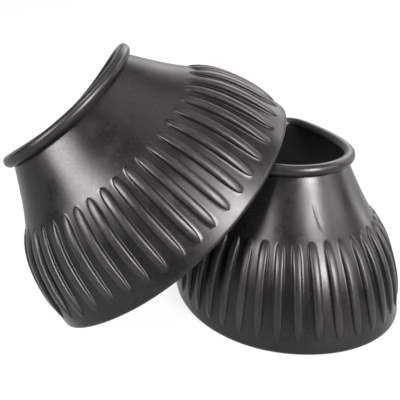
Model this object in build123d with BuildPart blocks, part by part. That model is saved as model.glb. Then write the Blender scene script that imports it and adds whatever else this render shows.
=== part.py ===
from build123d import *
import math
import os

import numpy as np

# A pair of pull-on rubber bell boots. Each boot is one moulding: a rolled bead round the
# collar, a plain neck, a ring of lens-shaped ribs and a plain band down to the hem.
# Both come out of the same mould. In use the soft wall squeezes oval, so the two boots
# share every moulded size and differ only in how they are squeezed and where they rest.

# ---- the moulding, in millimetres and degrees ----
COLLAR_RADIUS = 41.2        # outside of the wall under the bead, when round
NECK_LENGTH = 39.3          # along the wall, bead to rib tips
RIB_LENGTH = 60.5           # along the wall, tip to tip
BAND_LENGTH = 8.5           # along the wall, rib tips to hem
RIB_COUNT = 42
RIB_BAR_RADIUS = 3.0        # roundness of a rib's back
RIB_HEIGHT = 2.8            # crest above the wall, half way along
RIB_RUN_OUT = 4.0           # how far the bar carries on, buried in the wall
BEAD_RADIUS = 3.75
BEAD_OUT = 2.2              # bead centre, outside the wall's skin
BEAD_UP = 2.9               # bead centre, above the crease under it
LIP_UP = 4.3                # top of the wall, above the same crease
COLLAR_WALL = 2.3           # wall thickness under the bead
HEM_WALL = 4.0              # wall thickness at the hem

# slope of the wall away from the boot's axis, at stations down the wall
COLLAR_SLOPE = 27.3
NECK_SLOPE = 29.3
SHOULDER_SLOPE = 34.4
RIB_SLOPE = 19.6
BAND_SLOPE = 12.4
HEM_SLOPE = 6.4
NECK_STATION = 0.55         # share of the neck's length
RIB_STATION = 0.5           # share of the ribs' length

# ---- how each boot is squeezed ----
# An outline is the circle e^(it) plus squeeze e^(-it) plus egg e^(-2it) plus corner
# e^(-3it). The squeeze makes it oval and passes evenly from the collar's to the hem's.
# The egg and the corner belong to the collar and fade out at the hem.
# A squeezed rim no longer lies flat: the collar's lies on a ball, the hem's on a barrel.
STANDING = {
    "collar": 0.048 - 0.104j,
    "hem": 0.102,
    "egg": -0.022 + 0.099j,
    "corner": 0.008 - 0.031j,
    "ball_radius": 824.0,
    "barrel_radius": 600.0,
    "barrel_shift": 4.1,    # barrel's axis to the boot's axis
    "hem_low": -101.4,      # lowest height of the hem
    "rib_phase": 0.575,     # share of a rib's pitch
    "at": (51.9, 0.1, 101.4),
    "turn": (0.0, 0.0, -71.4),
}
LEANING = {
    "collar": 0.243 + 0.027j,
    "hem": 0.198,
    "egg": 0.003 + 0.043j,
    "corner": -0.018,
    "ball_radius": 130.7,
    "barrel_radius": 368.0,
    "barrel_shift": 0.0,
    "hem_low": -108.1,
    "rib_phase": 0.102,
    "at": (-87.2, -12.6, 134.8),
    "turn": (-4.2, -42.5, 19.5),
}

# ---- how finely the wall is worked out ----
OVER_COLLAR = 9.0           # the wall is carried past both rims, then cut back
UNDER_HEM = 12.0
STEP = 1.5
COLUMNS_PER_RIB = 4
OUTLINE_EVERY = 8           # columns between an outline's points
BEAD_EVERY = 4
SECTION_GAP = 12.0          # height between the wall's outlines
CURVE_POINTS = 721          # round a squeezed circle before it is measured

WALL_LENGTH = NECK_LENGTH + RIB_LENGTH + BAND_LENGTH
COLUMNS = RIB_COUNT * COLUMNS_PER_RIB
COLLAR_ROW = round(OVER_COLLAR / STEP)
DOWN = STEP * np.arange(-COLLAR_ROW, round((WALL_LENGTH + UNDER_HEM) / STEP) + 1)
BARREL_LENGTH = 400.0       # longer than a boot in any direction


def wall_slope(down):
    """Slope of the wall, in radians, at a distance down it from the collar."""
    stations = (
        0.0,
        NECK_STATION * NECK_LENGTH,
        NECK_LENGTH,
        NECK_LENGTH + RIB_STATION * RIB_LENGTH,
        NECK_LENGTH + RIB_LENGTH,
        WALL_LENGTH,
    )
    slopes = (COLLAR_SLOPE, NECK_SLOPE, SHOULDER_SLOPE, RIB_SLOPE, BAND_SLOPE, HEM_SLOPE)
    return np.radians(np.interp(down, stations, slopes))


def round_radius():
    """Radius of the unsqueezed wall at each row."""
    growth = np.sin(wall_slope(DOWN[:-1] + STEP / 2)) * STEP
    total = np.concatenate([[0.0], np.cumsum(growth)])
    return COLLAR_RADIUS + total - total[COLLAR_ROW]


def outline(boot, share, radius):
    """Points round the wall, evenly spaced along the rubber, a share of the way down."""
    t = np.linspace(0.0, 2 * math.pi, CURVE_POINTS)
    near_collar = 1.0 - share
    oval = boot["collar"] * near_collar + boot["hem"] * share
    curve = np.exp(1j * t) + oval * np.exp(-1j * t)
    curve = curve + near_collar * boot["egg"] * np.exp(-2j * t)
    curve = curve + near_collar * boot["corner"] * np.exp(-3j * t)
    run = np.concatenate([[0.0], np.cumsum(np.abs(np.diff(curve)))])
    curve = curve * 2 * math.pi * radius / run[-1]
    around = run * 2 * math.pi / run[-1]
    start = np.mean(around[:-1] - t[:-1])
    pitch = 2 * math.pi / RIB_COUNT
    column = (np.arange(COLUMNS) / COLUMNS_PER_RIB + boot["rib_phase"]) * pitch
    wanted = np.mod(column + start, 2 * math.pi)
    return np.interp(wanted, around, curve.real), np.interp(wanted, around, curve.imag)


def outer_skin(boot):
    """Grid of points on the wall's outside. Squeezing bends the rubber but doesn't
    stretch it, so every column keeps its length down the wall."""
    rows = [outline(boot, d / WALL_LENGTH, r) for d, r in zip(DOWN, round_radius())]
    x = np.array([row[0] for row in rows])
    y = np.array([row[1] for row in rows])
    fall = np.sqrt(STEP**2 - np.diff(x, axis=0) ** 2 - np.diff(y, axis=0) ** 2)
    drop = np.concatenate([np.zeros((1, COLUMNS)), np.cumsum(fall, axis=0)])
    reach = x[COLLAR_ROW] ** 2 + y[COLLAR_ROW] ** 2
    rim = ball_height(boot, reach.max()) - np.sqrt(boot["ball_radius"] ** 2 - reach)
    z = rim + drop[COLLAR_ROW] - drop
    return np.stack([x, y, z], axis=-1)


def ball_height(boot, reach):
    """Height of the collar ball's centre above the rim's highest points."""
    return math.sqrt(boot["ball_radius"] ** 2 - reach)


def outward(skin):
    """Unit vectors out of the wall at each point of its grid."""
    down = np.gradient(skin, axis=0)
    along = np.roll(skin, -1, axis=1) - np.roll(skin, 1, axis=1)
    out = np.cross(down, along)
    return out / np.linalg.norm(out, axis=-1, keepdims=True)


def level_outline(skin, height, every):
    """Closed outline of the wall's grid at one height."""
    points = []
    for column in range(0, COLUMNS, every):
        line = skin[::-1, column]
        x = np.interp(height, line[:, 2], line[:, 0])
        y = np.interp(height, line[:, 2], line[:, 1])
        points.append((float(x), float(y), 0.0))
    return points


def on_wall(grid, down, column):
    """A grid's value at a distance down one column."""
    return np.array([np.interp(down, DOWN, grid[:, column, axis]) for axis in range(3)])


def rib_bars(skin, out):
    """Round bars bent along the columns. Each stands proud half way along and sinks
    into the wall at both ends, which gives the rib its lens-shaped outline."""
    middle = NECK_LENGTH + RIB_LENGTH / 2
    reach = RIB_LENGTH / 2 + RIB_RUN_OUT
    with BuildPart() as bars:
        for column in range(0, COLUMNS, COLUMNS_PER_RIB):
            spine = []
            for down in (middle - reach, middle, middle + reach):
                proud = RIB_HEIGHT * (1 - (2 * (down - middle) / RIB_LENGTH) ** 2)
                depth = proud - RIB_BAR_RADIUS
                normal = on_wall(out, down, column)
                spine.append(tuple(on_wall(skin, down, column) + depth * normal))
            with BuildLine() as path:
                ThreePointArc(*spine)
            with BuildSketch(path.line ^ 0):
                Circle(RIB_BAR_RADIUS)
            sweep(clean=False)
    return bars.part


def collar_bead(skin, out):
    """The rolled bead, a round cord that follows the collar's rim. It closes on itself,
    so it is made as two half rings that meet end to end."""
    up = skin[COLLAR_ROW - 1] - skin[COLLAR_ROW]
    up = up / np.linalg.norm(up, axis=-1, keepdims=True)
    centre = skin[COLLAR_ROW] + BEAD_OUT * out[COLLAR_ROW] + BEAD_UP * up
    centre = centre[::BEAD_EVERY]
    along = np.roll(centre, -1, axis=0) - np.roll(centre, 1, axis=0)
    half = len(centre) // 2
    with BuildPart() as bead:
        for first in (0, half):
            for step in range(half + 1):
                k = (first + step) % len(centre)
                across = Plane(tuple(centre[k]), x_dir=(0, 0, 1), z_dir=tuple(along[k]))
                with BuildSketch(across):
                    Circle(BEAD_RADIUS)
            loft()
    return bead.part


def make_boot(boot):
    """One moulding, in its own frame: the collar's highest points at z = 0, hem below."""
    skin = outer_skin(boot)
    out = outward(skin)
    share = np.clip(DOWN / WALL_LENGTH, 0.0, 1.0)[:, None, None]
    inside = skin - out * (COLLAR_WALL + (HEM_WALL - COLLAR_WALL) * share)
    top = float(min(skin[0, :, 2].min(), inside[0, :, 2].min()))
    bottom = float(max(skin[-1, :, 2].max(), inside[-1, :, 2].max()))
    sections = round((top - bottom) / SECTION_GAP)
    reach = float((skin[COLLAR_ROW, :, :2] ** 2).sum(axis=-1).max())
    lip = ball_height(boot, reach) + LIP_UP * math.cos(math.radians(COLLAR_SLOPE))
    bars = rib_bars(skin, out)
    bead = collar_bead(skin, out)
    with BuildPart() as moulding:
        for height in np.linspace(bottom, top, sections + 1):
            with BuildSketch(Plane.XY.offset(float(height))):
                with BuildLine():
                    Spline(*level_outline(skin, height, OUTLINE_EVERY), periodic=True)
                make_face()
        loft(clean=False)
        add(bars, clean=False)
        for height in np.linspace(bottom, top, sections + 1):
            with BuildSketch(Plane.XY.offset(float(height))):
                with BuildLine():
                    Spline(*level_outline(inside, height, OUTLINE_EVERY), periodic=True)
                make_face()
        loft(mode=Mode.SUBTRACT, clean=False)
        with Locations((0, 0, lip)):
            Sphere(boot["ball_radius"], mode=Mode.SUBTRACT)
        with Locations((boot["barrel_shift"], 0, boot["hem_low"] + boot["barrel_radius"])):
            Cylinder(boot["barrel_radius"], BARREL_LENGTH, rotation=(90, 0, 0), mode=Mode.INTERSECT)
        add(bead)
    return moulding.part


os.makedirs("parts", exist_ok=True)
for name, boot in (("standing_boot", STANDING), ("leaning_boot", LEANING)):
    solid = make_boot(boot).moved(Location(boot["at"], boot["turn"]))
    solid.label = name
    export_step(solid, f"parts/{name}.step")
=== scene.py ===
import math

import bpy
import numpy as np
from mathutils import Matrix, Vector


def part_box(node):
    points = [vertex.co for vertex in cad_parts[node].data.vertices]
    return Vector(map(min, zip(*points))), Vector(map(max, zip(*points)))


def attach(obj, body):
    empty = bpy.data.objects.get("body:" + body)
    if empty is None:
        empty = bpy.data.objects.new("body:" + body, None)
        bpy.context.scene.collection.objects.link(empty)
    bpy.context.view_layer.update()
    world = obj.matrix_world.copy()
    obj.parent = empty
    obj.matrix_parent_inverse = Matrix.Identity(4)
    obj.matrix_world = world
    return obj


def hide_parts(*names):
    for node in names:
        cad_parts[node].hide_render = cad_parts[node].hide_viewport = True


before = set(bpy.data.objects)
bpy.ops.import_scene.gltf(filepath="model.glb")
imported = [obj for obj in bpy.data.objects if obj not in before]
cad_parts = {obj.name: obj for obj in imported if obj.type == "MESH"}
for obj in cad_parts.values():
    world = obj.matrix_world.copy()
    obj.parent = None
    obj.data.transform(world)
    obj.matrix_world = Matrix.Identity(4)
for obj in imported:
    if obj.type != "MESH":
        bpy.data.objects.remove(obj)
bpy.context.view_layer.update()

# A pair of pull-on rubber bell boots out of one mould. Each boot is one closed mesh, worked
# out from the same numbers as its solid, and adds what the solid leaves plain: flat-backed
# ribs with small fillets, rounded rims, the bead's parting step and an uneven surface.

# ---- the moulding, in millimetres and degrees, as the solids have it ----
COLLAR_RADIUS = 41.2        # outside of the wall under the bead, when round
NECK_LENGTH = 39.3          # along the wall, bead to rib tips
RIB_LENGTH = 60.5           # along the wall, tip to tip
BAND_LENGTH = 8.5           # along the wall, rib tips to hem
RIB_COUNT = 42
BEAD_RADIUS = 3.75
BEAD_OUT = 2.2              # bead centre, outside the wall's skin
BEAD_UP = 2.9               # bead centre, above the crease under it
COLLAR_WALL = 2.3
HEM_WALL = 4.0

# slope of the wall away from the boot's axis, at stations down the wall
COLLAR_SLOPE = 27.3
NECK_SLOPE = 29.3
SHOULDER_SLOPE = 34.4
RIB_SLOPE = 19.6
BAND_SLOPE = 12.4
HEM_SLOPE = 6.4
NECK_STATION = 0.55         # share of the neck's length
RIB_STATION = 0.5           # share of the ribs' length

# How each boot is squeezed and turned. An outline is the circle e^(it) plus squeeze e^(-it)
# plus egg e^(-2it) plus corner e^(-3it). The squeeze passes evenly from the collar's to the
# hem's. The egg and the corner belong to the collar and fade out at the hem.
STANDING = {
    "name": "standing",
    "collar": 0.048 - 0.104j,
    "hem": 0.102,
    "egg": -0.022 + 0.099j,
    "corner": 0.008 - 0.031j,
    "ball_radius": 824.0,       # the collar's rim lies on this ball
    "barrel_radius": 600.0,     # the hem's rim lies on this barrel
    "barrel_shift": 4.1,        # barrel's axis to the boot's axis
    "hem_low": -101.4,          # lowest height of the hem, from the collar's highest
    "rib_phase": 0.575,         # first rib's place, as a share of the ribs' pitch
    "turn": (0.0, 0.0, -71.4),
    "flow_mark": {
        "from_down": 14.0,
        "to_down": 34.0,
        "from_around": 0.9762,  # shares of the way round
        "to_around": 0.9868,
        "width": 1.0,
        "depth": 0.22,
    },
    "seed": 3,
}
LEANING = {
    "name": "leaning",
    "collar": 0.243 + 0.027j,
    "hem": 0.198,
    "egg": 0.003 + 0.043j,
    "corner": -0.018,
    "ball_radius": 130.7,
    "barrel_radius": 368.0,
    "barrel_shift": 0.0,
    "hem_low": -108.1,
    "rib_phase": 0.102,
    "turn": (-4.2, -42.5, 19.5),
    "seed": 8,
}

# ---- finish of the moulding, which the solids leave plainer ----
RIB_HEIGHT = 3.1            # crest above the wall, half way along
CREST_FULLNESS = 2.4        # how level a rib's crest runs before it falls to the tips
TIP_FULLNESS = 0.8          # how steeply the crest ends at the tips
RIB_HALF_WIDTH = 2.95       # half way along, with the fillets
NECK_END_FULLNESS = 6.0     # how far a rib keeps its width towards the neck
HEM_END_FULLNESS = 4.8      # and towards the hem
SHOULDERS = 0.62            # how square a rib is across; 1 is round
FOOT_ROUND = 0.5            # fillet where a rib meets the wall
FOOT_SHARE = 0.4            # most of a rib's height that its fillet takes
FILLET_MIDDLE = 0.29        # a fillet's middle, as a share of its reach and rise
RIB_UNEVENNESS = 0.03       # ribs differ in height by up to this share
HEM_OUTER_ROUND = 2.4
HEM_INNER_ROUND = 1.2
LUMP = 0.14                 # slow unevenness of the soft wall
LUMP_WAVES = (3, 5, 8, 13)  # round the boot
LUMP_LENGTHS = (45.0, 110.0)    # down the wall, shortest and longest
MARK_FADE = 0.25            # share of the flow mark's length that each end fades over

# the mould's parting step on the bead; angles are degrees above the bead's middle
PARTING_ANGLE = 10.0
PARTING_STEP = 0.22
PARTING_BLEND = 2.4         # the step falls over this angle
PARTING_END = -95.0         # the step has faded out here
PARTING_FADE = 40.0         # fading over this angle; its wander fades over it too
PARTING_WANDER = ((3, 1.5, 1.0), (11, 1.0, 0.0))    # waves round the boot, degrees, start
LIP_DUST = 1.4              # radians over the lip where the bead's dust begins

# ---- mesh fineness ----
OVER_COLLAR = 9.0           # the wall is worked out past both rims
UNDER_HEM = 9.0
STEP = 0.25                 # rows of the worked-out wall
COLUMNS = 1008              # columns of the worked-out wall
CURVE_POINTS = 2881         # round a squeezed circle before it is measured
CREST_COLUMNS = 11          # columns over one rib
NARROWEST = 0.45            # half width that a rib's columns keep at its tips
LEAST_SIDE = 0.2            # width that a fillet's columns keep there
TIP_PASSED = 0.8            # columns stay gathered this far past the tips
SPREAD_OVER = 7.0           # and spread evenly over this length
EVEN_HALF = 0.28            # half width of a rib's columns once spread, as a share of the pitch
EVEN_SIDE = 0.07            # width of its fillet's columns then
UP_REACH = 1.0              # the wall's direction under the bead is taken over this length
CREASE_ROWS = (0.0, 0.3, 0.7, 1.2)
NECK_START = 2.0            # first row past the crease's
TIP_REACH = 1.5             # closest rows, this far each side of the ribs' tips
END_REACH = 6.0             # close rows, this far into the ribs
HEM_OUTER_RINGS = 5
HEM_INNER_RINGS = 3
INSIDE_START = 0.97         # first ring up the inside, as a share of the way down
INSIDE_RINGS = 12
LIP_ANGLES = (80.0, 10.0)   # first and last ring over the lip, from straight up
LIP_RINGS = 6
BEAD_TOP_RINGS = 7          # round the bead, from its top to the parting step
OVER_PARTING = 8.0          # the last of them, from the step
PARTING_RINGS = (3.0, 0.8, -0.8, -3.0)  # beside the step
UNDER_PARTING = 10.0        # the first ring past them
BEAD_LOW_RINGS = 8          # from there to the crease

WALL_LENGTH = NECK_LENGTH + RIB_LENGTH + BAND_LENGTH
RIB_END = NECK_LENGTH + RIB_LENGTH
RIB_MIDDLE = NECK_LENGTH + RIB_LENGTH / 2
STRETCH_FROM = RIB_END - END_REACH
COLLAR_ROW = round(OVER_COLLAR / STEP)
DOWN = STEP * np.arange(-COLLAR_ROW, round((WALL_LENGTH + UNDER_HEM) / STEP) + 1)
MM = 0.001
TURN = 2 * math.pi


def quarter_turn(steps):
    """Angles that divide a quarter turn evenly, in radians, without the first."""
    return np.radians(np.linspace(90.0 / steps, 90.0, steps))


# ---- the wall ----
def wall_slope(down):
    """Slope of the wall, in radians, at a distance down it from the collar."""
    stations = (
        0.0,
        NECK_STATION * NECK_LENGTH,
        NECK_LENGTH,
        NECK_LENGTH + RIB_STATION * RIB_LENGTH,
        RIB_END,
        WALL_LENGTH,
    )
    slopes = (COLLAR_SLOPE, NECK_SLOPE, SHOULDER_SLOPE, RIB_SLOPE, BAND_SLOPE, HEM_SLOPE)
    return np.radians(np.interp(down, stations, slopes))


def round_radius():
    """Radius of the unsqueezed wall at each row."""
    growth = np.sin(wall_slope(DOWN[:-1] + STEP / 2)) * STEP
    total = np.concatenate([[0.0], np.cumsum(growth)])
    return COLLAR_RADIUS + total - total[COLLAR_ROW]


def way_round(down):
    """Distance round the wall at a distance down it."""
    return TURN * np.interp(down, DOWN, round_radius())


def wall_thickness(down):
    """The wall thickens evenly from the collar to the hem."""
    return COLLAR_WALL + (HEM_WALL - COLLAR_WALL) * np.clip(down / WALL_LENGTH, 0, 1)


def outline(boot, share, radius):
    """Points round the wall, evenly spaced along the rubber, a share of the way down."""
    t = np.linspace(0.0, TURN, CURVE_POINTS)
    near_collar = 1.0 - share
    oval = boot["collar"] * near_collar + boot["hem"] * share
    curve = np.exp(1j * t) + oval * np.exp(-1j * t)
    curve = curve + near_collar * boot["egg"] * np.exp(-2j * t)
    curve = curve + near_collar * boot["corner"] * np.exp(-3j * t)
    run = np.concatenate([[0.0], np.cumsum(np.abs(np.diff(curve)))])
    curve = curve * TURN * radius / run[-1]
    around = run * TURN / run[-1]
    start = np.mean(around[:-1] - t[:-1])
    column = np.arange(COLUMNS) * TURN / COLUMNS
    wanted = np.mod(column + start, TURN)
    return np.interp(wanted, around, curve.real), np.interp(wanted, around, curve.imag)


def outer_skin(boot):
    """Grid of points on the wall's outside. Squeezing bends the rubber but doesn't
    stretch it, so every column keeps its length down the wall. The collar's rim lies
    on a ball."""
    rows = [outline(boot, d / WALL_LENGTH, r) for d, r in zip(DOWN, round_radius())]
    x = np.array([row[0] for row in rows])
    y = np.array([row[1] for row in rows])
    fall = np.sqrt(STEP**2 - np.diff(x, axis=0) ** 2 - np.diff(y, axis=0) ** 2)
    drop = np.concatenate([np.zeros((1, COLUMNS)), np.cumsum(fall, axis=0)])
    reach = x[COLLAR_ROW] ** 2 + y[COLLAR_ROW] ** 2
    ball = boot["ball_radius"]
    rim = math.sqrt(ball**2 - reach.max()) - np.sqrt(ball**2 - reach)
    z = rim + drop[COLLAR_ROW] - drop
    return np.stack([x, y, z], axis=-1)


def outward(skin):
    """Unit vectors out of the wall at each point of its grid."""
    down = np.gradient(skin, axis=0)
    along = np.roll(skin, -1, axis=1) - np.roll(skin, 1, axis=1)
    out = np.cross(down, along)
    return out / np.linalg.norm(out, axis=-1, keepdims=True)


def smooth_weights(f):
    """Weights of four neighbours for a smooth curve through them."""
    return (
        0.5 * (-f + 2 * f**2 - f**3),
        0.5 * (2 - 5 * f**2 + 3 * f**3),
        0.5 * (f + 4 * f**2 - 3 * f**3),
        0.5 * (-(f**2) + f**3),
    )


def on_wall(grid, down, around):
    """A grid's smooth value at distances down the wall and shares of the way round."""
    row = (down + OVER_COLLAR) / STEP
    column = around * COLUMNS
    i = np.clip(np.floor(row).astype(int), 1, grid.shape[0] - 3)
    j = np.floor(column).astype(int)
    row_weights = smooth_weights(row - i)
    column_weights = smooth_weights(column - j)
    value = 0.0
    for a in range(4):
        for b in range(4):
            weight = (row_weights[a] * column_weights[b])[..., None]
            value = value + weight * grid[i + a - 1, (j + b - 1) % COLUMNS]
    return value


def smooth_step(x):
    """Rises smoothly from 0 at x = 0 to 1 at x = 1."""
    x = np.clip(x, 0.0, 1.0)
    return x * x * (3 - 2 * x)


def flow_mark(mark, down, around):
    """Depth of the short slanting crease that the rubber left on the neck when it flowed."""
    along = (down - mark["from_down"]) / (mark["to_down"] - mark["from_down"])
    line = mark["from_around"] + (mark["to_around"] - mark["from_around"]) * along
    across = (np.mod(around - line + 0.5, 1.0) - 0.5) * way_round(down)
    taper = smooth_step(along / MARK_FADE) * smooth_step((1 - along) / MARK_FADE)
    return mark["depth"] * taper * np.exp(-((across / mark["width"]) ** 2))


def lumps(boot, down, around):
    """Slow unevenness of the soft wall, in millimetres."""
    rng = np.random.RandomState(boot["seed"])
    total = np.zeros(np.broadcast(down, around).shape)
    for waves in LUMP_WAVES:
        start, shift = rng.uniform(0, TURN, 2)
        length = rng.uniform(*LUMP_LENGTHS)
        wave = np.sin(TURN * waves * around + start) * np.sin(TURN * down / length + shift)
        total = total + wave / math.sqrt(waves)
    total = LUMP * total
    if "flow_mark" in boot:
        total = total - flow_mark(boot["flow_mark"], down, around)
    return total


# ---- ribs ----
def from_middle(down):
    """Distance from the ribs' middle, as a share of half their length."""
    return np.clip(np.abs(2 * (down - RIB_MIDDLE) / RIB_LENGTH), 0.0, 1.0)


def rib_height(down):
    """Height of a rib's crest above the wall."""
    return RIB_HEIGHT * (1 - from_middle(down) ** CREST_FULLNESS) ** TIP_FULLNESS


def rib_half_width(down):
    """Half a rib's width where it leaves the wall. Its sides run level and its ends are
    blunt, the one at the neck more so."""
    fullness = np.where(down < RIB_MIDDLE, NECK_END_FULLNESS, HEM_END_FULLNESS)
    return RIB_HALF_WIDTH * np.sqrt(1 - from_middle(down) ** fullness)


def rib_crest(half, foot, height):
    """Offsets and heights of the columns over one rib, from one fillet to the other."""
    crest = []
    for angle in np.radians(np.linspace(-90.0, 90.0, CREST_COLUMNS)):
        offset = half * math.copysign(abs(math.sin(angle)) ** SHOULDERS, angle)
        rise = foot + (height - foot) * max(math.cos(angle), 0.0) ** SHOULDERS
        crest.append((offset, rise))
    return crest


def rib_section(down):
    """Offsets of one rib's columns from its middle, and their heights above the wall.
    The columns gather over the rib, follow its outline, and spread evenly where there is
    no rib. A small fillet joins the rib's side to the wall."""
    pitch = way_round(down) / RIB_COUNT
    beyond = np.maximum(NECK_LENGTH - down, down - RIB_END)
    plain = smooth_step((beyond - TIP_PASSED) / SPREAD_OVER)
    height = rib_height(down)
    half = np.maximum(rib_half_width(down) - FOOT_ROUND / 2, NARROWEST)
    half = half * (1 - plain) + EVEN_HALF * pitch * plain
    foot = np.minimum(FOOT_ROUND, FOOT_SHARE * height)
    side = np.maximum(foot, LEAST_SIDE) * (1 - plain) + EVEN_SIDE * pitch * plain
    level = np.zeros(down.shape)
    right = [
        (half + FILLET_MIDDLE * side, FILLET_MIDDLE * foot),
        (half + side, level),
        ((half + side + pitch / 2) / 2, level),
    ]
    left = [(-offset, rise) for offset, rise in reversed(right)]
    section = [(-pitch / 2, level)] + left + rib_crest(half, foot, height) + right
    offsets = np.stack([offset for offset, rise in section], axis=-1)
    return offsets, np.stack([rise for offset, rise in section], axis=-1), pitch


def rows_down():
    """Distances down the wall of the outside's rows, closer together at the ribs' tips."""
    end = WALL_LENGTH - HEM_OUTER_ROUND
    stretches = (
        (NECK_START, NECK_LENGTH - TIP_REACH, 18),
        (NECK_LENGTH - TIP_REACH, NECK_LENGTH + TIP_REACH, 10),
        (NECK_LENGTH + TIP_REACH, NECK_LENGTH + END_REACH, 6),
        (NECK_LENGTH + END_REACH, RIB_END - END_REACH, 28),
        (RIB_END - END_REACH, RIB_END - TIP_REACH, 6),
        (RIB_END - TIP_REACH, RIB_END + TIP_REACH, 10),
        (RIB_END + TIP_REACH, end, 4),
    )
    rows = [np.linspace(first, last, steps, endpoint=False) for first, last, steps in stretches]
    return np.concatenate([CREASE_ROWS] + rows + [[end]])


# ---- one boot ----
def hem_line(boot, skin, around):
    """Distance down the wall to the hem. The hem's rim lies on a barrel."""
    barrel = boot["barrel_radius"]
    shift = skin[..., 0] - boot["barrel_shift"]
    above = skin[..., 2] - (boot["hem_low"] + barrel - np.sqrt(barrel**2 - shift**2))
    low = [np.interp(0.0, -above[:, c], DOWN) for c in range(COLUMNS)]
    place = np.append(np.arange(COLUMNS) / COLUMNS, 1.0)
    return np.interp(np.mod(around, 1.0), place, np.append(low, low[0]))


def ring(points, relief=0.0, down=0.0, bead=0.0, inside=0.0):
    """One ring of the surface, with what the rubber's finish needs to know of it."""
    facts = np.empty((len(points), 4))
    facts[:, 0] = relief
    facts[:, 1] = down
    facts[:, 2] = bead
    facts[:, 3] = inside
    return points, facts


def collar_rings(skin, out, around, foot):
    """Rings over the wall's rounded top and round the bead, down to the crease."""
    crease = np.zeros(around.shape)
    normal = on_wall(out, crease, around)
    up = on_wall(skin, crease - UP_REACH, around) - on_wall(skin, crease, around)
    up = up / np.linalg.norm(up, axis=-1, keepdims=True)
    centre = foot + BEAD_OUT * normal + BEAD_UP * up
    lip_width = BEAD_OUT + COLLAR_WALL
    rings = []
    for turn in np.radians(np.linspace(*LIP_ANGLES, LIP_RINGS)):
        points = centre - lip_width * math.sin(turn) * normal + BEAD_RADIUS * math.cos(turn) * up
        rings.append(ring(points, down=-BEAD_UP, bead=1.0 - smooth_step(turn / LIP_DUST)))
    end = -180.0 + math.degrees(math.acos(BEAD_OUT / BEAD_RADIUS))
    turns = np.concatenate([
        np.linspace(90.0, PARTING_ANGLE + OVER_PARTING, BEAD_TOP_RINGS),
        [PARTING_ANGLE + beside for beside in PARTING_RINGS],
        np.linspace(PARTING_ANGLE - UNDER_PARTING, end, BEAD_LOW_RINGS, endpoint=False),
    ])
    wander = 0.0
    for waves, size, start in PARTING_WANDER:
        wander = wander + size * np.sin(TURN * waves * around + start)
    for turn in turns:
        below = smooth_step((PARTING_ANGLE - turn) / PARTING_BLEND + 0.5)
        below = below * smooth_step((turn - PARTING_END) / PARTING_FADE)
        radius = BEAD_RADIUS - PARTING_STEP * below
        near = smooth_step(1 - abs(turn - PARTING_ANGLE) / PARTING_FADE)
        angle = np.radians(turn + wander * near)[:, None]
        points = centre + radius * np.cos(angle) * normal + radius * np.sin(angle) * up
        rings.append(ring(points, down=-BEAD_UP, bead=1.0))
    return rings


def boot_rings(boot):
    """The boot's whole surface as rings of points that close on themselves: down the
    outside, round the hem, up the inside, over the lip and round the bead."""
    skin = outer_skin(boot)
    out = outward(skin)
    base = rows_down()
    offsets, heights, pitch = rib_section(base)
    rib = np.repeat(np.arange(RIB_COUNT), offsets.shape[1])
    rng = np.random.RandomState(boot["seed"])
    uneven = 1.0 + RIB_UNEVENNESS * rng.uniform(-1, 1, RIB_COUNT)

    def share(offset, width):
        return (rib + boot["rib_phase"] + np.tile(offset, RIB_COUNT) / width) / RIB_COUNT

    def place(down, around, proud):
        down = np.broadcast_to(down, around.shape)
        total = (proud + lumps(boot, down, around))[:, None]
        return on_wall(skin, down, around) + total * on_wall(out, down, around)

    # outside, the last rows stretched or shortened to reach the hem's line
    first = share(offsets[0], pitch[0])
    last = share(offsets[-1], pitch[-1])
    hem = hem_line(boot, skin, last)
    stretch = (hem - STRETCH_FROM) / (WALL_LENGTH - STRETCH_FROM)
    rings = []
    for k, level in enumerate(base):
        down = np.full(hem.shape, level)
        down = np.where(down > STRETCH_FROM, STRETCH_FROM + (down - STRETCH_FROM) * stretch, down)
        relief = np.tile(heights[k], RIB_COUNT) * uneven[rib]
        points = place(down, share(offsets[k], pitch[k]), relief)
        rings.append(ring(points, relief=relief / RIB_HEIGHT, down=down))

    # hem
    for turn in quarter_turn(HEM_OUTER_RINGS):
        down = hem - HEM_OUTER_ROUND * (1 - math.sin(turn))
        proud = -HEM_OUTER_ROUND * (1 - math.cos(turn))
        rings.append(ring(place(down, last, proud), down=down))
    for turn in np.append(0.0, quarter_turn(HEM_INNER_RINGS)):
        down = hem - HEM_INNER_ROUND * (1 - math.cos(turn))
        proud = -HEM_WALL + HEM_INNER_ROUND * (1 - math.sin(turn))
        rings.append(ring(place(down, last, proud), down=down, inside=1.0))

    # inside, from the hem up to the lip
    for part in np.linspace(INSIDE_START, 0.0, INSIDE_RINGS):
        down = -BEAD_UP + (hem - HEM_INNER_ROUND + BEAD_UP) * part
        points = place(down, first * (1 - part) + last * part, -wall_thickness(down))
        rings.append(ring(points, down=down, inside=1.0))

    foot = place(0.0, first, 0.0)
    return rings + collar_rings(skin, out, first, foot)


def rotation(turn):
    """Turns about X, then the turned Y, then the turned Z, in degrees."""
    a, b, c = np.radians(turn)
    about_x = np.array([[1, 0, 0], [0, math.cos(a), -math.sin(a)], [0, math.sin(a), math.cos(a)]])
    about_y = np.array([[math.cos(b), 0, math.sin(b)], [0, 1, 0], [-math.sin(b), 0, math.cos(b)]])
    about_z = np.array([[math.cos(c), -math.sin(c), 0], [math.sin(c), math.cos(c), 0], [0, 0, 1]])
    return about_x @ about_y @ about_z


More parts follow.
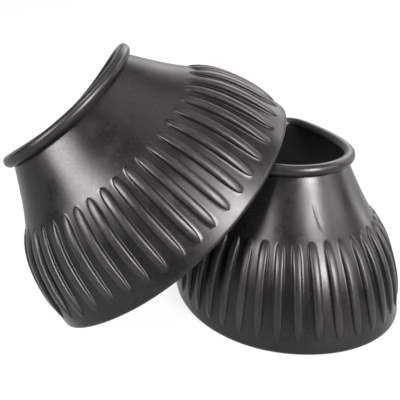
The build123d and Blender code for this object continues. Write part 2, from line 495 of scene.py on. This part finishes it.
def add_boot(boot, node, body, materials):
    """Makes a boot's mesh, in the place of its solid and riding on the solid's body."""
    rings = boot_rings(boot)
    points = np.concatenate([points for points, facts in rings])
    facts = np.concatenate([facts for points, facts in rings])
    points = points @ rotation(boot["turn"]).T * MM
    low, high = (np.array(corner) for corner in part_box(node))
    points = points + (low + high) / 2 - (points.min(axis=0) + points.max(axis=0)) / 2
    columns = len(rings[0][0])
    row, column = np.meshgrid(np.arange(len(rings)), np.arange(columns), indexing="ij")
    next_row = (row + 1) % len(rings) * columns
    next_column = (column + 1) % columns
    here = row * columns + column
    right = row * columns + next_column
    faces = np.stack([here, next_row + column, next_row + next_column, right], axis=-1)
    faces = faces.reshape(-1, 4)
    mesh = bpy.data.meshes.new(boot["name"] + "_moulding")
    mesh.from_pydata(points.tolist(), [], faces.tolist())
    mesh.polygons.foreach_set("use_smooth", np.ones(len(faces), dtype=bool))
    for k, name in enumerate(("relief", "down", "bead", "inside")):
        layer = mesh.attributes.new(name, "FLOAT", "POINT")
        layer.data.foreach_set("value", facts[:, k].astype(np.float32))
    for material in materials:
        mesh.materials.append(material)
    # Faces inside the boot take the darker copy of the rubber, which is painted shade.
    inside = facts[faces, 3].min(axis=1) > 0.5
    mesh.polygons.foreach_set("material_index", inside.astype(np.int32))
    mesh.update()
    piece = bpy.data.objects.new(boot["name"] + "_moulding", mesh)
    bpy.context.collection.objects.link(piece)
    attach(piece, body)
    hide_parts(node)


# ---- rubber ----
OUTSIDE_RUBBER = {
    "name": "boot_rubber",
    "ior": 1.33,
    "clean": (0.0028, 0.0026, 0.0028, 1.0),
    "dusty": (0.017, 0.016, 0.0165, 1.0),
    "roughness": (0.25, 0.37),      # clean and smudged
}
# The inside's copy of the rubber is darker, rougher and less glossy than the outside. This is
# painted shade in the boot's hollow, not a different rubber.
SHADED_INSIDE_RUBBER = {
    "name": "boot_rubber_inside_painted_shade",
    "ior": 1.2,
    "clean": (0.0020, 0.0017, 0.0015, 1.0),
    "dusty": (0.007, 0.006, 0.0055, 1.0),
    "roughness": (0.45, 0.55),
}
CREST = (0.10, 0.60)        # share of a rib's height where its dust begins and is full
BEAD_DUST = 0.8
SMUDGE_NOISE = (38.0, 5.0, 0.62)    # scale, detail and roughness
SMUDGE = (0.42, 0.68)       # the noise's values where smudges begin and are full
SPECK_NOISE = (620.0, 3.0, 0.7)
SPECK = (0.44, 0.64)
GRIT_NOISE = (1100.0, 1.0, 0.5)
GRIT = (0.66, 0.74)
GRIT_DUST = 0.6
FILM_DUST = 0.4             # specks in the smudges
LEAST_SMUDGE = 0.45         # dust on the crests between smudges
LEAST_SPECK = 0.35          # dust on the crests between specks
SHADE_AMONG_RIBS_BEGIN = (40.0, 50.0)   # down the wall, where the film thins out among the ribs, darkening the gaps as painted shade
SHADE_AMONG_RIBS_STOP = (100.0, 88.0)
# share of the film kept among the ribs, where the rest is taken away as painted shade
FILM_KEPT_IN_RIB_SHADE = 0.25
CREST_ROUGHER = 0.04
SPECK_ROUGHER = 0.03
GRAIN_NOISE = (260.0, 2.0, 0.5)
GRAIN_STRENGTH = 0.09
GRAIN_DEPTH = 0.00012


def rubber(kind):
    """Satin black rubber: a dusty bloom on the ribs' crests, faint smudges, fine grain."""
    material = bpy.data.materials.new(kind["name"])
    material.use_nodes = True
    nodes = material.node_tree.nodes
    links = material.node_tree.links
    nodes.clear()
    output = nodes.new("ShaderNodeOutputMaterial")
    surface = nodes.new("ShaderNodeBsdfPrincipled")
    links.new(surface.outputs["BSDF"], output.inputs["Surface"])
    surface.inputs["IOR"].default_value = kind["ior"]
    place = nodes.new("ShaderNodeTexCoord").outputs["Object"]

    def attribute(name):
        node = nodes.new("ShaderNodeAttribute")
        node.attribute_name = name
        return node.outputs["Fac"]

    def noise(scale, detail, roughness):
        node = nodes.new("ShaderNodeTexNoise")
        node.inputs["Scale"].default_value = scale
        node.inputs["Detail"].default_value = detail
        node.inputs["Roughness"].default_value = roughness
        links.new(place, node.inputs["Vector"])
        return node.outputs["Fac"]

    def spread(value, low, high, to_low=0.0, to_high=1.0):
        node = nodes.new("ShaderNodeMapRange")
        node.inputs["From Min"].default_value = low
        node.inputs["From Max"].default_value = high
        node.inputs["To Min"].default_value = to_low
        node.inputs["To Max"].default_value = to_high
        links.new(value, node.inputs["Value"])
        return node.outputs["Result"]

    def combine(operation, first, second):
        node = nodes.new("ShaderNodeMath")
        node.operation = operation
        for socket, value in zip(node.inputs, (first, second)):
            if isinstance(value, float):
                socket.default_value = value
            else:
                links.new(value, socket)
        return node.outputs["Value"]

    def mix_colours(factor, first, second):
        node = nodes.new("ShaderNodeMix")
        node.data_type = "RGBA"
        links.new(factor, node.inputs["Factor"])
        sockets = [socket for socket in node.inputs if socket.type == "RGBA"]
        sockets[0].default_value = first
        sockets[1].default_value = second
        return next(socket for socket in node.outputs if socket.type == "RGBA")

    bead = combine("MULTIPLY", attribute("bead"), BEAD_DUST)
    crest = combine("MAXIMUM", spread(attribute("relief"), *CREST), bead)
    smudge = spread(noise(*SMUDGE_NOISE), *SMUDGE)
    speck = spread(noise(*SPECK_NOISE), *SPECK)
    grit = combine("MULTIPLY", spread(noise(*GRIT_NOISE), *GRIT), GRIT_DUST)
    dust = combine("MULTIPLY", crest, spread(smudge, 0.0, 1.0, LEAST_SMUDGE, 1.0))
    dust = combine("MULTIPLY", dust, spread(speck, 0.0, 1.0, LEAST_SPECK, 1.0))
    film = combine("MULTIPLY", smudge, combine("MULTIPLY", speck, FILM_DUST))
    film = combine("ADD", film, grit)
    # The film is thinned among the ribs so that the gaps between them read darker. This is
    # painted shade.
    down = attribute("down")
    painted_shade_among_ribs = combine("MULTIPLY", spread(down, *SHADE_AMONG_RIBS_BEGIN), spread(down, *SHADE_AMONG_RIBS_STOP))
    film = combine("MULTIPLY", film, spread(painted_shade_among_ribs, 0.0, 1.0, 1.0, FILM_KEPT_IN_RIB_SHADE))
    colour = mix_colours(combine("MAXIMUM", dust, film), kind["clean"], kind["dusty"])
    links.new(colour, surface.inputs["Base Color"])
    roughness = spread(smudge, 0.0, 1.0, *kind["roughness"])
    roughness = combine("ADD", roughness, combine("MULTIPLY", crest, CREST_ROUGHER))
    roughness = combine("ADD", roughness, combine("MULTIPLY", speck, SPECK_ROUGHER))
    links.new(roughness, surface.inputs["Roughness"])
    grain = nodes.new("ShaderNodeBump")
    grain.inputs["Strength"].default_value = GRAIN_STRENGTH
    grain.inputs["Distance"].default_value = GRAIN_DEPTH
    links.new(noise(*GRAIN_NOISE), grain.inputs["Height"])
    links.new(grain.outputs["Normal"], surface.inputs["Normal"])
    return material


# ---- floor, light and camera, in metres, degrees and watts ----
PAPER = (0.07, 0.07, 0.07, 1.0)
PAPER_ROUGHNESS = 0.9
PAPER_GLOW = 0.86
FLOOR_HALF_WIDTH = 3.0
FLOOR_FRONT = -1.5
FLOOR_BEND_START = 1.2
FLOOR_BEND = 0.8
FLOOR_TOP = 3.0
FLOOR_BEND_STEPS = 12
ROOM_COLOUR = (1.0, 0.98, 0.96, 1.0)
ROOM_LIGHT = 0.12           # the dim room that the rubber reflects
BACKDROP_LIGHT = 0.9        # the pale backdrop past the paper
SOFTBOX_COLOUR = (1.0, 0.955, 0.985)
SOFTBOX_MIDDLE = 3.0        # a softbox's strength in its middle, which falls to 0 at its edges
SOFTBOX_AIM = (0.0, 0.0, 0.08)
TOP_PLACE = (0.0, -0.15, 1.7)
TOP_SIZE = (2.2, 2.2)
TOP_POWER = 15.0
# name, to the right of the camera's side, above level, away, width, height, power
SOFTBOXES = (
    ("key_softbox", 33.0, 31.0, 1.3, 0.8, 0.9, 64.0),
    ("left_softbox", -49.0, 33.0, 1.3, 0.9, 0.8, 46.0),
    ("fill_softbox", 68.0, 27.0, 1.4, 1.2, 1.0, 12.0),
    ("right_softbox", 112.0, 38.0, 1.4, 0.9, 0.9, 8.0),
    ("rim_softbox", 112.0, 9.0, 1.5, 1.0, 0.4, 4.0),
    ("back_softbox", 155.0, 35.0, 1.5, 1.7, 1.3, 16.0),
)
CAMERA_PLACE = (-0.0069, -0.3805, 0.2424)
CAMERA_DOWN = 24.88         # below level
FOCAL_SHARE = 1.530         # focal length over the frame's width
SENSOR = 36.0               # millimetres


def studio_paper():
    """Paper that is white by its own glow, so that only faint shadows show on it."""
    material = bpy.data.materials.new("studio_paper")
    material.use_nodes = True
    surface = material.node_tree.nodes["Principled BSDF"]
    surface.inputs["Base Color"].default_value = PAPER
    surface.inputs["Roughness"].default_value = PAPER_ROUGHNESS
    surface.inputs["Emission Color"].default_value = (1.0, 1.0, 1.0, 1.0)
    surface.inputs["Emission Strength"].default_value = PAPER_GLOW
    return material


def add_floor():
    """A sheet of paper that runs away from the camera and curves up behind."""
    section = [(FLOOR_FRONT, 0.0), (FLOOR_BEND_START, 0.0)]
    for turn in quarter_turn(FLOOR_BEND_STEPS):
        y = FLOOR_BEND_START + FLOOR_BEND * math.sin(turn)
        section.append((y, FLOOR_BEND * (1 - math.cos(turn))))
    section.append((FLOOR_BEND_START + FLOOR_BEND, FLOOR_TOP))
    points = []
    for y, z in section:
        points.append((-FLOOR_HALF_WIDTH, y, z))
        points.append((FLOOR_HALF_WIDTH, y, z))
    faces = [(2 * k, 2 * k + 1, 2 * k + 3, 2 * k + 2) for k in range(len(section) - 1)]
    mesh = bpy.data.meshes.new("floor")
    mesh.from_pydata(points, [], faces)
    mesh.polygons.foreach_set("use_smooth", np.ones(len(faces), dtype=bool))
    mesh.materials.append(studio_paper())
    floor = bpy.data.objects.new("floor", mesh)
    bpy.context.collection.objects.link(floor)


def fade_edges(lamp):
    """Makes a softbox brightest in the middle, as a real one is."""
    lamp.use_nodes = True
    nodes = lamp.node_tree.nodes
    links = lamp.node_tree.links
    offset = nodes.new("ShaderNodeVectorMath")
    offset.operation = "SUBTRACT"
    offset.inputs[1].default_value = (0.5, 0.5, 0.0)
    links.new(nodes.new("ShaderNodeNewGeometry").outputs["Parametric"], offset.inputs[0])
    length = nodes.new("ShaderNodeVectorMath")
    length.operation = "LENGTH"
    links.new(offset.outputs["Vector"], length.inputs[0])
    fade = nodes.new("ShaderNodeMapRange")
    fade.interpolation_type = "SMOOTHSTEP"
    fade.inputs["From Min"].default_value = 0.0
    fade.inputs["From Max"].default_value = 0.5
    fade.inputs["To Min"].default_value = SOFTBOX_MIDDLE
    fade.inputs["To Max"].default_value = 0.0
    links.new(length.outputs["Value"], fade.inputs["Value"])
    links.new(fade.outputs["Result"], nodes["Emission"].inputs["Strength"])


def add_softbox(name, place, size, power):
    """A soft-edged area light that faces the boots."""
    lamp = bpy.data.lights.new(name, "AREA")
    lamp.shape = "RECTANGLE"
    lamp.size = size[0]
    lamp.size_y = size[1]
    lamp.energy = power
    lamp.color = SOFTBOX_COLOUR
    fade_edges(lamp)
    softbox = bpy.data.objects.new(name, lamp)
    softbox.location = place
    away = np.array(place) - np.array(SOFTBOX_AIM)
    level = math.hypot(away[0], away[1])
    softbox.rotation_euler = (math.atan2(level, away[2]), 0.0, math.atan2(away[0], -away[1]))
    bpy.context.collection.objects.link(softbox)


def around_object(side, up, distance):
    """A place seen from the object: degrees to the right of the camera's side, degrees
    above level, and metres away."""
    level = distance * math.cos(math.radians(up))
    x = level * math.sin(math.radians(side))
    y = -level * math.cos(math.radians(side))
    return (x, y, distance * math.sin(math.radians(up)))


def add_light():
    """A dim room with a pale backdrop, and the softboxes in it."""
    world = bpy.data.worlds.new("studio")
    bpy.context.scene.world = world
    world.use_nodes = True
    nodes = world.node_tree.nodes
    links = world.node_tree.links
    nodes["Background"].inputs["Color"].default_value = ROOM_COLOUR
    seen = nodes.new("ShaderNodeMapRange")
    seen.inputs["To Min"].default_value = ROOM_LIGHT
    seen.inputs["To Max"].default_value = BACKDROP_LIGHT
    links.new(nodes.new("ShaderNodeLightPath").outputs["Is Camera Ray"], seen.inputs["Value"])
    links.new(seen.outputs["Result"], nodes["Background"].inputs["Strength"])
    for name, side, up, distance, width, height, power in SOFTBOXES:
        add_softbox(name, around_object(side, up, distance), (width, height), power)
    add_softbox("top_softbox", TOP_PLACE, TOP_SIZE, TOP_POWER)


def add_camera():
    """A camera that looks straight ahead and down at the boots."""
    lens = bpy.data.cameras.new("camera")
    lens.sensor_width = SENSOR
    lens.lens = FOCAL_SHARE * SENSOR
    lens.clip_start = 0.01
    camera = bpy.data.objects.new("camera", lens)
    camera.location = CAMERA_PLACE
    camera.rotation_euler = (math.radians(90.0 - CAMERA_DOWN), 0.0, 0.0)
    bpy.context.collection.objects.link(camera)
    bpy.context.scene.camera = camera


# The second material is the inside's painted-shade copy of the rubber.
RUBBER = (rubber(OUTSIDE_RUBBER), rubber(SHADED_INSIDE_RUBBER))
add_boot(STANDING, "standing_boot", "standing", RUBBER)
add_boot(LEANING, "leaning_boot", "leaning", RUBBER)
add_floor()
add_light()
add_camera()
bpy.context.scene.view_settings.view_transform = "Standard"
